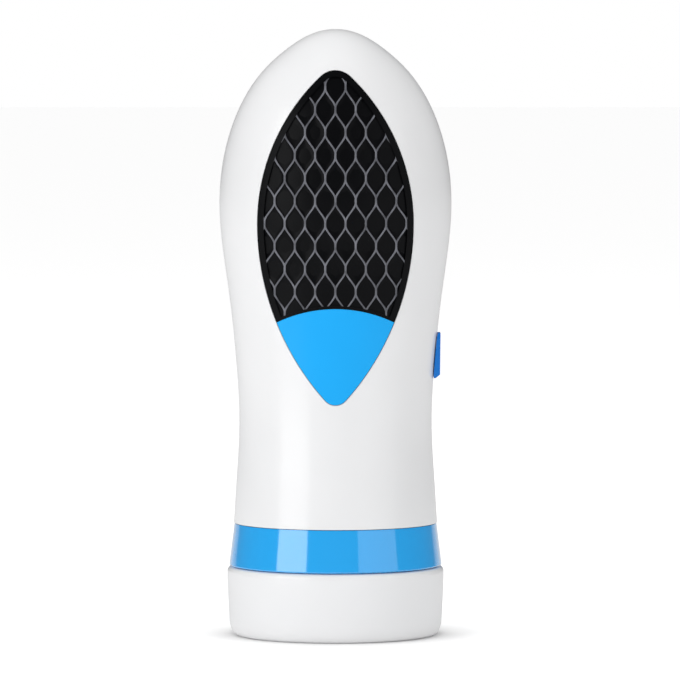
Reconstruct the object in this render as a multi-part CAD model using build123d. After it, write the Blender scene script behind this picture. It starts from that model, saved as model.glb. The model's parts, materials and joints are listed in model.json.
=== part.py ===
from build123d import *
import os
from math import acos, atan2, cos, degrees, pi, radians, sin, sqrt, tan

# Hand-held electric callus remover, standing on its protective cap.
# Millimetres. +Z up along the spindle, -Y is the front with the grip panel,
# +X is the side with the slide switch. The origin is the centre of the cap's flat foot.

# ---------------------------------------------------------------- driving dimensions
HEIGHT = 145.0            # foot of the cap to the crown of the head
HEAD_R = 27.75            # half width of the head where it is widest
HEAD_Z = 103.0            # height of that widest place
WAIST_R = 23.0            # half width of the waist
WAIST_Z = 52.0
HEAD_DEPTH = 0.88         # depth of the head as a share of its width; the neck is round
WALL = 2.0                # casing wall

DISC_R = 21.0             # abrasive disc
DISC_T = 1.6
DISC_Z = 6.4              # its working face
DISC_RIM = 0.7            # the carrier's rim round it

SPIGOT_WALL = 1.5         # spigot that the cap fits on
SPIGOT_ROOM = 0.8         # between the turning carrier and the spigot
CARRIER_R = DISC_R + DISC_RIM
SPIGOT_IN = CARRIER_R + SPIGOT_ROOM
SPIGOT_R = SPIGOT_IN + SPIGOT_WALL
NECK_R = SPIGOT_R + 0.2   # half width of the casing where it meets the blue band

CAP_TOP = 16.5            # height of the protective cap
CAP_R = NECK_R + 1.75     # its largest radius
CAP_FLOOR = 1.9
CAP_FOOT_IN = 2.65        # its flat foot is this much smaller in radius
CAP_FOOT_R = CAP_R - CAP_FOOT_IN
CAP_ROUND = 1.1           # round of its upper edge
CAP_LEAD_IN = 0.3         # bevel at the mouth of its bore
CAP_HEEL_OUT = 2.2        # how far its wall swings out above the foot
CAP_HEEL_Z = 3.8          # and by what height
CAP_BARREL = 0.12         # its middle falls short of the largest radius by this
CAP_CORNER_X = 1.6        # bevel between its bore and its floor
CAP_CORNER_Z = 2.2
CAP_SEAM = 0.2            # visible gap between the cap and the band
BAND_HEIGHT = 10.1        # the blue band of the head ring
BAND_FLARE = 1.3          # how far its lower edge stands out past the neck
BAND_Z0 = CAP_TOP + CAP_SEAM
BAND_Z1 = BAND_Z0 + BAND_HEIGHT
BAND_LOW_R = NECK_R + BAND_FLARE

AA_R = 7.25               # AA cell
AA_LENGTH = 50.5
CELL_SPACE = 0.5          # between the two cells
AA_PITCH = 2 * AA_R + CELL_SPACE

MOTOR_R = 10.05           # can of the motor
MOTOR_FLAT = 7.55         # half thickness across its flats
CAN_LENGTH = 19.5
ENDCAP_T = 5.5

BUSH_R = 2.5              # bushes of the spindle
SPINDLE_R = 1.5
GEAR_MODULE = 0.5
PINION_TEETH = 10
MOTOR_ROOM = 0.45         # at least this much between the motor and the upper bush
GEAR_TEETH = round(2 * (MOTOR_FLAT + BUSH_R + MOTOR_ROOM) / GEAR_MODULE) - PINION_TEETH
TOOTH_SHIFT = 0.42        # profile shift of the pinion, taken off the gear
GEAR_WIDTH = 4.0

# ---------------------------------------------------------------- clearances
SEAM = 0.15               # visible gap between two fitted covers
SLIDE_FIT = 0.12          # radial gap of the cap on the spigot
RUN_FIT = 0.03            # radial gap of a shaft in a bush
SNUG = 0.02               # gap of a pressed or screwed piece
DOOR_GAP = 0.35           # gap all round the battery door
PARTING_HALF = 0.1        # half width and depth of the groove between the two shells
PARTING_DEPTH = 0.25
JOIN = 0.1                # how far features of one piece run into each other

os.makedirs("parts", exist_ok=True)


def save(name, shape):
    """Writes one sub-part as its own file."""
    export_step(Compound(children=list(shape.solids())), f"parts/{name}.step")


# ---------------------------------------------------------------- casing surface
SWELL = [(0.18, 0.285), (0.515, 0.58)]  # shares of the way out and up from waist to head
CROWN = [(0.9, 0.433), (0.623, 0.764), (0.432, 0.881), (0.18, 0.979)]  # of HEAD_R, and of the rise
meridian = Spline(
    (NECK_R + 0.55, BAND_Z0 + 3),
    ((NECK_R + WAIST_R) / 2 + 0.35, BAND_Z1 + 7.2),
    (WAIST_R + 0.05, WAIST_Z - 0.5),
    *[(WAIST_R + a * (HEAD_R - WAIST_R), WAIST_Z + b * (HEAD_Z - WAIST_Z)) for a, b in SWELL],
    (HEAD_R, HEAD_Z),
    *[(a * HEAD_R, HEAD_Z + b * (HEIGHT - HEAD_Z)) for a, b in CROWN],
    (0, HEIGHT),
    tangents=[(-0.05, 1), (-1, 0)],
)
SECTIONS = 24             # ellipses lofted into the casing surface
CROWN_END = 0.994         # the last one's place along the meridian, a barely visible flat
DEPTH_Z0 = BAND_Z1        # the section turns from round to oval between these heights
DEPTH_Z1 = HEAD_Z - 8.0


def depth_share(z):
    """Depth over width of the casing at a height."""
    t = min(1.0, max(0.0, (z - DEPTH_Z0) / (DEPTH_Z1 - DEPTH_Z0)))
    return 1 - (1 - HEAD_DEPTH) * t * t * (3 - 2 * t)


def body(offset=0.0):
    """The casing's outer form, grown outwards by offset, as one solid."""
    sections = []
    for i in range(SECTIONS):
        u = CROWN_END * (1 - (1 - i / (SECTIONS - 1)) ** 1.35)
        point, along = meridian @ u, meridian % u
        out, up = along.Y, -along.X
        half_width = point.X + offset * out
        half_depth = point.X * depth_share(point.Y) + offset * out
        plane = Plane(origin=(0, 0, point.Y + offset * up))
        sections.append(plane * Ellipse(half_width, half_depth))
    return loft(sections)


def half_width(z):
    """Half width of the casing at a height, with its slope dx/dz."""
    low, high = 0.0, 1.0
    for _ in range(40):
        mid = (low + high) / 2
        if (meridian @ mid).Y < z:
            low = mid
        else:
            high = mid
    along = meridian % low
    return (meridian @ low).X, along.X / along.Y


def cylinder(radius, z0, z1, x=0.0, y=0.0):
    """An upright cylinder between two heights."""
    return Pos(x, y, (z0 + z1) / 2) * Cylinder(radius, z1 - z0)


def tube(outer, inner, z0, z1, x=0.0, y=0.0):
    """An upright tube between two heights."""
    return cylinder(outer, z0, z1, x, y) - cylinder(inner, z0 - 1, z1 + 1, x, y)


def rod_y(radius, y0, y1, x, z):
    """A cylinder that lies along Y."""
    return Pos(x, (y0 + y1) / 2, z) * Rot(90, 0, 0) * Cylinder(radius, y1 - y0)


def block(x0, x1, y0, y1, z0, z1):
    """A box between two corners."""
    middle = Pos((x0 + x1) / 2, (y0 + y1) / 2, (z0 + z1) / 2)
    return middle * Box(x1 - x0, y1 - y0, z1 - z0)


def prism_y(outline, y0, y1):
    """An outline drawn in x and z, extruded from y0 to y1."""
    return Pos(0, y0, 0) * extrude(Plane.XZ * outline, -(y1 - y0))


FAR = 60.0                # beyond the object in every sideways direction
surface = body()
inside = body(-WALL)
casing_z0 = BAND_Z1 + SEAM

# ---------------------------------------------------------------- grip panel outline
PANEL_TOP = 134.4         # tips of the pointed oval
PANEL_BOTTOM = 56.6
PANEL_Z = 99.0            # height of its widest place
PANEL_R = 18.4            # its half width there
PANEL_UPPER_ARC = 48.0    # radii of the sides above and below the widest place
PANEL_LOWER_ARC = 62.0
PANEL_TOP_ROUND = 5.0     # radii of the two tips
PANEL_BOTTOM_ROUND = 3.2
PANEL_T = 1.2             # depth of its pocket in the casing
PANEL_PROUD = 0.2
PANEL_BED = 0.05          # gap under the panel
TIP_GAP = 0.04            # half the gap between the pad and the blue tip
TIP_ARC = 30.5            # radius of the line between the black pad and the blue tip
TIP_ARC_TOP = 79.1        # crown of that line
PAD_BORDER = 1.4          # smooth border round the textured field
PAD_RECESS = 0.35         # depth of the field below the border


def panel_outline(shrink=0.0):
    """The pointed oval, made of four arcs, shrunk inwards by shrink."""
    edges = []
    for arc, sign in ((PANEL_UPPER_ARC, 1), (PANEL_LOWER_ARC, -1)):
        radius = arc - shrink
        centre = arc - PANEL_R
        tip = PANEL_Z + sign * sqrt(radius**2 - centre**2)
        turn = acos(centre / radius) / 2
        mid_x = radius * cos(turn) - centre
        mid_z = PANEL_Z + sign * radius * sin(turn)
        edges.append(ThreePointArc((PANEL_R - shrink, PANEL_Z), (mid_x, mid_z), (0, tip)))
        edges.append(ThreePointArc((-PANEL_R + shrink, PANEL_Z), (-mid_x, mid_z), (0, tip)))
    face = make_face(edges)
    tips = face.vertices().sort_by(Axis.Y)
    face = fillet(tips[0], max(0.4, PANEL_BOTTOM_ROUND - shrink))
    tips = face.vertices().sort_by(Axis.Y)
    return fillet(tips[-1], max(0.4, PANEL_TOP_ROUND - shrink))


def tip_region(offset=0.0):
    """Everything below the arc that parts the blue tip from the black pad."""
    return Pos(0, TIP_ARC_TOP - TIP_ARC) * Circle(TIP_ARC + offset)


# ---------------------------------------------------------------- switch seat
SWITCH_Z = 67.0           # middle of the slide button at rest
SWITCH_TRAVEL = 2.5
BUTTON_LENGTH = 11.0
BUTTON_WIDTH = 7.0
BUTTON_LOW_T = 1.5        # how far its two ends stand out of the casing
BUTTON_TOP_T = 0.75
STEM_Z0 = -2.4            # stem below the button, along the slide from its middle
STEM_Z1 = 1.6
STEM_HALF = 1.5           # half width of the stem
SLOT_CLEAR = 0.3
switch_x, switch_slope = half_width(SWITCH_Z)
switch_tilt = degrees(atan2(switch_slope, 1))
# Local frame of the switch: X out of the casing, Z along the slide.
switch_seat = Pos(switch_x, 0, SWITCH_Z) * Rot(0, switch_tilt, 0)

# ---------------------------------------------------------------- screws and posts
SCREW_R = 1.25
SCREW_HEAD_R = 2.3
SCREW_HEAD_T = 1.8
SCREW_SEAT_Y = 7.0        # where the head bears, from the parting plane
SCREW_END_Y = -7.0
BOSS_R = 3.0
HOLE_BEYOND = 1.0         # a tapped hole runs this far past its screw's end
HEAD_ROUND = 0.7          # round of a pan head
CROSS_LENGTH = 2.6        # cross recess
CROSS_DEPTH = 0.8
CROSS_WIDTH = 0.55
BACK_BOSS_R = 3.2
WELL_CLEAR = 0.3          # round a screw's head
HOLE_CLEAR = 0.15         # round a screw's shank
SLOT_WIDTH = 0.5          # of a slotted screw
TRAY_SCREW_R = 1.0
TRAY_SCREW_HEAD_R = 1.8
TRAY_SCREW_HEAD_T = 1.2
TRAY_SCREW_END_Y = -8.0
TRAY_POST_R = 2.6

# ---------------------------------------------------------------- head ring
SPIGOT_Z0 = DISC_Z + 3.1
COLLAR_CLEAR = 0.5        # between the upper collar and the casing's wall
COLLAR_WALL = 1.5
COLLAR_R = NECK_R - WALL - COLLAR_CLEAR
COLLAR_IN = COLLAR_R - COLLAR_WALL
RIB_R = COLLAR_R + 1.0    # rib of the collar, held in a groove of the casing
RIB_Z0 = BAND_Z1 + 2.8
RIB_Z1 = RIB_Z0 + 1.4
RIB_CLEAR = 0.2
COLLAR_Z1 = RIB_Z1 + 2.5
DECK_T = 2.0
DECK_Z0 = BAND_Z0 + 0.5
DECK_Z1 = DECK_Z0 + DECK_T
DECK_BOSS_R = 5.4
DECK_BOSS_Z0 = DECK_Z0 - 1.2
DECK_BOSS_Z1 = DECK_Z1 + 3.0
BUSH_FLANGE_R = 3.7
BUSH_FLANGE_T = 0.8

GEAR_Z0 = DECK_BOSS_Z1 + 1.6            # face of the gear
GEAR_Z1 = GEAR_Z0 + GEAR_WIDTH
PLATE_T = 2.0
PLATE_Z0 = GEAR_Z1 + 1.4                # motor plate
PLATE_Z1 = PLATE_Z0 + PLATE_T
PLATE_R = COLLAR_IN - 0.4
POST_RING_R = PLATE_R - 3.2             # circle of the three posts that carry the motor plate
POST_R = 2.6
POST_ANGLES = [90, 200, 340]
POST_SCREW_R = 1.0
POST_SCREW_HEAD_R = 1.9
POST_SCREW_HEAD_T = 1.4
POST_SCREW_LENGTH = 8.0
BAND_ROOF = 1.6           # thickness of the band's step inwards to the collar
BAND_EDGE = 0.3           # round of its lower edge
SPIGOT_LIP = 0.5          # round of the spigot's lower edge
DECK_RIBS = 6
DECK_RIB_T = 1.0
DECK_RIB_TURN = 50.0      # angle of the first rib
DECK_RIB_TOP = DECK_BOSS_Z1 - 0.4
CENTRES = GEAR_MODULE * (PINION_TEETH + GEAR_TEETH) / 2
MOTOR_Y = -CENTRES        # the motor's axis stands in front of the spindle
MOTOR_Z0 = PLATE_Z1 + 0.05
CAN_TOP = MOTOR_Z0 + CAN_LENGTH
MOTOR_TOP = CAN_TOP + ENDCAP_T

# ---------------------------------------------------------------- battery bay
CELL_Y = AA_R + 0.35      # axis of the cells, behind the parting plane
BAY_Z0 = MOTOR_TOP + 3.75               # inner ends of the bay
BAY_SPRING = 4.7          # length taken by one pressed spring
BAY_Z1 = BAY_Z0 + AA_LENGTH + BAY_SPRING
TRAY_SCREWS_Z = [BAY_Z0 + 18.0, BAY_Z0 + 37.0]
SHELL_SCREWS = [(x, z) for z, half in ((40.0, 16.0), (BAY_Z1 + 9.8, 12.0)) for x in (-half, half)]
TRAY_T = 1.4
TRAY_IN = AA_PITCH / 2 + AA_R + 0.2     # half width inside the bay
TRAY_FLOOR_Y = CELL_Y - AA_R - 0.15     # face that the cells lie on
TRAY_BACK_Y = CELL_Y + 2.8

DOOR_HALF = TRAY_IN + 1.05              # half width of the battery door's opening
DOOR_Z0 = BAY_Z0 - 2.0
DOOR_Z1 = BAY_Z1 + 1.3
DOOR_ROUND = 3.0
DOOR_T = 1.6
DOOR_REST = 0.3           # between the door's inner face and its ledge
LEDGE = 1.0               # width of the ledge that the door's edge lies on
LEDGE_T = 1.2
LEDGE_ROOT = 2.5          # how far it runs on under the casing
LEDGE_FOOT = 1.5          # where it starts above the opening's lower edge
DOOR_TAB_X = 7.5          # two hooks under the opening's lower edge
DOOR_TAB_W = 5.0
HOOK_ROOM = 6.0           # height of the notches that the hooks pass
HOOK_REACH = 1.8          # how far the hooks reach down past the opening
HOOK_RISE = 4.0           # where they leave the door
HOOK_OUT = 0.3            # their two faces, inside the casing's wall
HOOK_IN = 1.4


def polar(radius, angle):
    """x and y of a point at an angle in degrees."""
    return radius * cos(radians(angle)), radius * sin(radians(angle))


# ---------------------------------------------------------------- the casing's two shells
def door_outline(grow=0.0):
    """The battery door's opening in x and z, grown outwards by grow."""
    width = 2 * (DOOR_HALF + grow)
    tall = DOOR_Z1 - DOOR_Z0 + 2 * grow
    middle = Pos(0, (DOOR_Z0 + DOOR_Z1) / 2)
    return middle * RectangleRounded(width, tall, max(0.5, DOOR_ROUND + grow))


def casing_blank():
    """Both shells as one hollow body, with the switch slot and the collar's groove."""
    blank = surface - inside
    blank = blank & block(-FAR, FAR, -FAR, FAR, casing_z0, HEIGHT + 10)
    slot = block(-6, 4, -STEM_HALF - SLOT_CLEAR, STEM_HALF + SLOT_CLEAR,
                 STEM_Z0 - SLOT_CLEAR, STEM_Z1 + SWITCH_TRAVEL + SLOT_CLEAR)
    blank -= switch_seat * slot
    blank -= tube(RIB_R + RIB_CLEAR, COLLAR_R - 2, RIB_Z0 - RIB_CLEAR, RIB_Z1 + RIB_CLEAR)
    return blank - (block(-FAR, FAR, -PARTING_HALF, PARTING_HALF, 0, FAR * 3) - body(-PARTING_DEPTH))


PEG_R = 1.0               # heat-staked pegs that hold the grip panel
PEG_CLEAR = 0.08
PEG_HEAD_R = 1.6
PEG_HEAD_T = 0.6
PEG_ROOT = 0.3            # how far a peg runs into its panel, and its head past the peg
PAD_PEGS = [(-9.0, 92.0), (9.0, 92.0), (-8.0, 116.0), (8.0, 116.0)]
TIP_PEGS = [(-6.0, 72.5), (6.0, 72.5)]


def front_y(x, z, offset=0.0):
    """y of the casing's front face at x and z, grown outwards by offset."""
    wide = half_width(z)[0]
    deep = wide * depth_share(z) + offset
    return -deep * sqrt(1 - (x / (wide + offset)) ** 2)


def front_shell(blank):
    """Front half: pocket for the grip panel, screw bosses and posts for the battery tray."""
    shell = blank & block(-FAR, FAR, -FAR, 0, 0, HEIGHT + 10)
    bosses = [rod_y(BOSS_R, -FAR, -0.02, x, z) for x, z in SHELL_SCREWS]
    bosses += [rod_y(TRAY_POST_R, -FAR, TRAY_FLOOR_Y - TRAY_T, 0, z) for z in TRAY_SCREWS_Z]
    for boss in bosses:
        shell += boss & body(-WALL / 2)
    pocket = prism_y(panel_outline(-SEAM), -FAR, 0) - body(-PANEL_T)
    shell -= pocket
    for x, z in SHELL_SCREWS:
        shell -= rod_y(SCREW_R + SNUG, SCREW_END_Y - HOLE_BEYOND, 1, x, z)
    for z in TRAY_SCREWS_Z:
        shell -= rod_y(TRAY_SCREW_R + SNUG, TRAY_SCREW_END_Y - HOLE_BEYOND, 1, 0, z)
    for x, z in PAD_PEGS + TIP_PEGS:
        shell -= rod_y(PEG_R + PEG_CLEAR, front_y(x, z) - 2, front_y(x, z) + 5, x, z)
    return shell


def back_shell(blank):
    """Back half: battery opening with its ledge, and the wells of the casing screws."""
    shell = blank & block(-FAR, FAR, 0, FAR, 0, HEIGHT + 10)
    for x, z in SHELL_SCREWS:
        shell += rod_y(BACK_BOSS_R, 0.02, FAR, x, z) & body(-WALL / 2)
    ledge = prism_y(door_outline(LEDGE_ROOT), 1, FAR) & (body(-WALL + JOIN) - body(-WALL - LEDGE_T))
    shell += ledge - block(-FAR, FAR, 0, FAR, 0, DOOR_Z0 + LEDGE_FOOT)
    shell -= prism_y(door_outline(-LEDGE), 1, FAR)
    shell -= prism_y(door_outline(), 1, FAR) - body(-DOOR_T - DOOR_REST)
    for side in (-1, 1):
        half = DOOR_TAB_W / 2 + DOOR_GAP
        notch = block(-half, half, 1, FAR, DOOR_Z0, DOOR_Z0 + HOOK_ROOM)
        shell -= Pos(side * DOOR_TAB_X, 0, 0) * notch
    for x, z in SHELL_SCREWS:
        shell -= rod_y(SCREW_HEAD_R + WELL_CLEAR, SCREW_SEAT_Y, FAR, x, z)
        shell -= rod_y(SCREW_R + HOLE_CLEAR, -1, SCREW_SEAT_Y + 1, x, z)
    return shell


def shell_screws():
    """Four pan-head screws from the back."""
    screws = []
    for x, z in SHELL_SCREWS:
        head = rod_y(SCREW_HEAD_R, SCREW_SEAT_Y, SCREW_SEAT_Y + SCREW_HEAD_T, x, z)
        head = fillet(head.edges().sort_by(Axis.Y)[-1], HEAD_ROUND)
        cross = Pos(x, SCREW_SEAT_Y + SCREW_HEAD_T, z)
        for turn in (45, -45):
            head -= cross * Rot(0, turn, 0) * Box(CROSS_LENGTH, 2 * CROSS_DEPTH, CROSS_WIDTH)
        screws.append(head + rod_y(SCREW_R, SCREW_END_Y, SCREW_SEAT_Y + JOIN, x, z))
    return Compound(children=screws)


# ---------------------------------------------------------------- grip panel
def stakes(places):
    """Pegs through the casing wall, with their heads formed inside it."""
    head_room = body(-WALL - 2 * SNUG)
    pegs = []
    for x, z in places:
        outer = front_y(x, z) + PANEL_T - PEG_ROOT
        wall_end = front_y(x, z, -WALL)
        pegs.append(rod_y(PEG_R, outer, wall_end + PEG_HEAD_T, x, z))
        head = rod_y(PEG_HEAD_R, wall_end - 1, wall_end + PEG_HEAD_T + PEG_ROOT, x, z)
        pegs.append(head & head_room)
    return pegs


def panel_blank():
    """The whole panel between its pocket's floor and its slightly proud face."""
    skin = body(PANEL_PROUD) - body(-PANEL_T + PANEL_BED)
    return skin & prism_y(panel_outline(), -FAR, 0)


def grip_pad(blank):
    """Black pad with a recessed field inside a smooth border."""
    pad = blank - prism_y(tip_region(TIP_GAP), -FAR, 0)
    field = panel_outline(PAD_BORDER) - tip_region(PAD_BORDER * 0.5)
    recess = prism_y(field, -FAR, 0) - body(PANEL_PROUD - PAD_RECESS)
    pad -= recess
    for peg in stakes(PAD_PEGS):
        pad += peg
    return pad


def grip_tip(blank):
    """Smooth blue tip below the pad."""
    tip = blank & prism_y(tip_region(-TIP_GAP), -FAR, 0)
    for peg in stakes(TIP_PEGS):
        tip += peg
    return tip


# ---------------------------------------------------------------- battery door
TONGUE_HALF = 5.5         # half width of the spring tongue at the door's top
TONGUE_LENGTH = 9.0
TONGUE_SLIT = 0.8
TONGUE_RIDGES = 4         # finger ridges across it
RIDGE_PITCH = 1.5
RIDGE_T = 0.7
RIDGE_PROUD = 0.35
RIDGE_INSET = 1.5         # from the tongue's sides
RIDGE_TOP = 2.4           # the first one, below the door's top
FOAM_HALF = 12.0
FOAM_BELOW = 16.0         # the foam's ends, from those of the opening
FOAM_ABOVE = 18.0
CELL_CLEAR = 0.35         # between the foam and the cells


def battery_door():
    """Back door that tilts out about its lower edge: skin, hooks and ridged spring tongue."""
    door = (surface - body(-DOOR_T)) & prism_y(door_outline(-DOOR_GAP), 1, FAR)
    top = DOOR_Z1 - DOOR_GAP
    for side in (-1, 1):
        x = side * (TONGUE_HALF + TONGUE_SLIT / 2)
        slit = Pos(x, 0, top - TONGUE_LENGTH / 2 + 1) * Box(TONGUE_SLIT, 2 * FAR, TONGUE_LENGTH + 2)
        door -= slit
    for row in range(TONGUE_RIDGES):
        z = top - RIDGE_TOP - RIDGE_PITCH * row
        ridge = Pos(0, FAR / 2, z) * Box(2 * (TONGUE_HALF - RIDGE_INSET), FAR, RIDGE_T)
        door += ridge & (body(RIDGE_PROUD) - body(-DOOR_T / 2))
    hook_face, hook_back = body(-WALL - HOOK_OUT), body(-WALL - HOOK_IN)
    hook_top = DOOR_Z0 + HOOK_RISE
    for side in (-1, 1):
        x0 = side * DOOR_TAB_X - DOOR_TAB_W / 2
        x1 = side * DOOR_TAB_X + DOOR_TAB_W / 2
        door += block(x0, x1, 1, FAR, DOOR_Z0 - HOOK_REACH, hook_top) & (hook_face - hook_back)
        web = block(x0, x1, 1, FAR, DOOR_Z0 + DOOR_GAP + 4 * JOIN, hook_top)
        door += web & (body(-DOOR_T / 2) - hook_back)
    return door


def door_foam():
    """Foam strip glued inside the door, just clear of the cells."""
    strip = block(-FOAM_HALF, FOAM_HALF, CELL_Y + AA_R + CELL_CLEAR, FAR,
                  DOOR_Z0 + FOAM_ABOVE, DOOR_Z1 - FOAM_BELOW)
    return strip & body(-DOOR_T - SNUG)


# ---------------------------------------------------------------- battery tray, cells, contacts
CONTACT_T = 0.4
CONTACT_W = 2 * AA_R - 3.5
TAB_W = 3.0
TAB_Y = TRAY_FLOOR_Y - TRAY_T - 2.2     # front end of a solder tab
CONTACT_SEAT = 0.03       # between a contact and the tray
CONTACT_TOP_Y = TRAY_BACK_Y - 0.6
CONTACT_LOW_Y = TRAY_FLOOR_Y + 0.05
TRAY_ROUND = 1.0
SADDLE_INSET = 9.0        # of the end saddles from the bay's ends
SADDLE_T = 1.4
SADDLE_Y = CELL_Y - 2.0
CELL_FIT = 0.05           # between a cell and its contact
NUB_R = 2.7
NUB_H = 1.2
CELL_EDGE = 0.6
CELL_LOW = BAY_Z1 - CONTACT_T - CELL_FIT - AA_LENGTH    # flat end of the left cell
CELL_HIGH = BAY_Z0 + CONTACT_T + CELL_FIT + AA_LENGTH   # flat end of the right cell


def battery_tray():
    """Open tray with a saddle for each cell, screwed to the front shell's posts."""
    outer = TRAY_IN + TRAY_T
    floor_front = TRAY_FLOOR_Y - TRAY_T
    tray = block(-outer, outer, floor_front, TRAY_BACK_Y, BAY_Z0 - TRAY_T, BAY_Z1 + TRAY_T)
    corners = tray.edges().filter_by(Axis.Z)
    tray = fillet(corners, TRAY_ROUND)
    tray -= block(-TRAY_IN, TRAY_IN, TRAY_FLOOR_Y, FAR, BAY_Z0, BAY_Z1)
    for z in (BAY_Z0 + SADDLE_INSET, (BAY_Z0 + BAY_Z1) / 2, BAY_Z1 - SADDLE_INSET):
        saddle = block(-TRAY_IN - JOIN, TRAY_IN + JOIN, TRAY_FLOOR_Y - JOIN, SADDLE_Y,
                       z - SADDLE_T / 2, z + SADDLE_T / 2)
        for side in (-1, 1):
            saddle -= cylinder(AA_R + 0.1, z - 2, z + 2, side * AA_PITCH / 2, CELL_Y)
        tray += saddle
    for side in (-1, 1):
        x = side * AA_PITCH / 2
        tray -= block(x - TAB_W / 2 - 0.1, x + TAB_W / 2 + 0.1, floor_front - 1, TRAY_FLOOR_Y + 1,
                      BAY_Z0 - 0.01, BAY_Z0 + CONTACT_T + 0.1)
    for z in TRAY_SCREWS_Z:
        tray -= rod_y(TRAY_SCREW_R + 0.1, floor_front - 1, TRAY_FLOOR_Y + 1, 0, z)
    return tray


def cell(x, nub_up):
    """An AA cell, nub up or down."""
    if nub_up:
        z0 = CELL_LOW
        can = cylinder(AA_R, z0, z0 + AA_LENGTH - NUB_H, x, CELL_Y)
        nub = cylinder(NUB_R, z0 + AA_LENGTH - NUB_H - JOIN, z0 + AA_LENGTH, x, CELL_Y)
    else:
        z0 = CELL_HIGH - AA_LENGTH
        can = cylinder(AA_R, z0 + NUB_H, z0 + AA_LENGTH, x, CELL_Y)
        nub = cylinder(NUB_R, z0, z0 + NUB_H + JOIN, x, CELL_Y)
    can = fillet(can.edges().filter_by(GeomType.CIRCLE), CELL_EDGE)
    return can + nub


def end_contact(side):
    """Flat contact at the bay's lower end, with a solder tab through the tray's floor."""
    x = side * AA_PITCH / 2
    z0, z1 = BAY_Z0 + CONTACT_SEAT, BAY_Z0 + CONTACT_T
    plate = block(x - CONTACT_W / 2, x + CONTACT_W / 2, CONTACT_LOW_Y, CONTACT_TOP_Y, z0, z1)
    return plate + block(x - TAB_W / 2, x + TAB_W / 2, TAB_Y, TRAY_FLOOR_Y + 0.2, z0, z1)


def bridge_contact():
    """Plate across the bay's upper end that joins the two cells in series."""
    half = AA_PITCH / 2 + CONTACT_W / 2
    return block(-half, half, CONTACT_LOW_Y, CONTACT_TOP_Y, BAY_Z1 - CONTACT_T, BAY_Z1 - CONTACT_SEAT)


SPRING_WIRE = 0.3         # radius of the spring's wire
SPRING_TURNS = 4
SPRING_R = 4.2            # radius of its wide end
SPRING_TAPER = 1.6


def contact_spring(x, z0, z1):
    """A conical battery spring between two heights, narrow end at z1."""
    upwards = 1 if z1 > z0 else -1
    base_z = z0 + upwards * (SPRING_WIRE + CONTACT_SEAT)
    tall = abs(z1 - upwards * (SPRING_WIRE + CELL_FIT) - base_z)
    path = Helix(tall / SPRING_TURNS, tall, SPRING_R, cone_angle=-degrees(atan2(SPRING_TAPER, tall)))
    start = Plane(origin=path @ 0, z_dir=path % 0)
    coil = sweep(start * Circle(SPRING_WIRE), path)
    place = Pos(x, CELL_Y, base_z)
    return place * coil if upwards > 0 else place * Rot(180, 0, 0) * coil


# ---------------------------------------------------------------- head ring
def head_ring():
    """Blue ring: visible band, spigot for the cap, deck of the gear case and collar."""
    band = make_face(Polyline(
        (SPIGOT_IN, BAND_Z0), (BAND_LOW_R, BAND_Z0), (NECK_R + 0.02, BAND_Z1), (COLLAR_IN, BAND_Z1),
        (COLLAR_IN, BAND_Z1 - BAND_ROOF), (SPIGOT_IN - JOIN, BAND_Z1 - BAND_ROOF), close=True))
    ring = revolve(Plane.XZ * band, Axis.Z)
    ring = fillet(ring.edges().filter_by(GeomType.CIRCLE).sort_by(SortBy.RADIUS)[-1], BAND_EDGE)
    ring += tube(SPIGOT_R, SPIGOT_IN, SPIGOT_Z0, BAND_Z0 + JOIN)
    ring += tube(COLLAR_R, COLLAR_IN, BAND_Z1 - JOIN, COLLAR_Z1)
    ring += tube(RIB_R, COLLAR_R - JOIN, RIB_Z0, RIB_Z1)
    ring += cylinder(SPIGOT_IN + JOIN, DECK_Z0, DECK_Z1)
    ring += cylinder(DECK_BOSS_R, DECK_BOSS_Z0, DECK_BOSS_Z1)
    for angle in POST_ANGLES:
        x, y = polar(POST_RING_R, angle)
        ring += cylinder(POST_R, DECK_Z1 - JOIN, PLATE_Z0 - SNUG, x, y)
    half = DECK_RIB_T / 2
    for k in range(DECK_RIBS):
        rib = block(DECK_BOSS_R - 5 * JOIN, POST_RING_R, -half, half, DECK_Z1 - JOIN, DECK_RIB_TOP)
        ring += Rot(0, 0, DECK_RIB_TURN + 360 / DECK_RIBS * k) * rib
    for angle in POST_ANGLES:
        x, y = polar(POST_RING_R, angle)
        ring -= cylinder(POST_SCREW_R + SNUG, DECK_Z1 + 0.8, FAR, x, y)
    ring -= cylinder(BUSH_R + SNUG, 0, FAR)
    lip = ring.edges().filter_by(GeomType.CIRCLE).group_by(Axis.Z)[0].sort_by(SortBy.RADIUS)[-1]
    return fillet(lip, SPIGOT_LIP)


def cap():
    """Protective cap that the device stands on: flat foot, rounded edge, bored for the spigot."""
    bore = SPIGOT_R + SLIDE_FIT
    foot = (CAP_FOOT_R, 0)
    heel = (CAP_FOOT_R + CAP_HEEL_OUT, CAP_HEEL_Z)
    shoulder = (CAP_R, CAP_TOP - CAP_ROUND - CAP_LEAD_IN)
    rim = (CAP_R - CAP_ROUND, CAP_TOP)
    wide = (CAP_R - CAP_BARREL, (heel[1] + shoulder[1]) / 2 + 1)
    lean = (0.06, 1)
    wall = [
        Line((0, 0), foot),
        Spline(foot, (CAP_FOOT_R + 0.75 * CAP_HEEL_OUT, 1.3), heel, tangents=[(1, 0.05), lean]),
        Spline(heel, wide, shoulder, tangents=[lean, (0, 1)]),
        ThreePointArc(shoulder, (CAP_R - 0.3 * CAP_ROUND, CAP_TOP - 0.38 * CAP_ROUND), rim),
        Polyline(rim, (bore + CAP_LEAD_IN, CAP_TOP), (bore, CAP_TOP - CAP_LEAD_IN),
                 (bore, CAP_FLOOR + CAP_CORNER_Z), (bore - CAP_CORNER_X, CAP_FLOOR),
                 (0, CAP_FLOOR), (0, 0)),
    ]
    return revolve(Plane.XZ * make_face(wall), Axis.Z)


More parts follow.
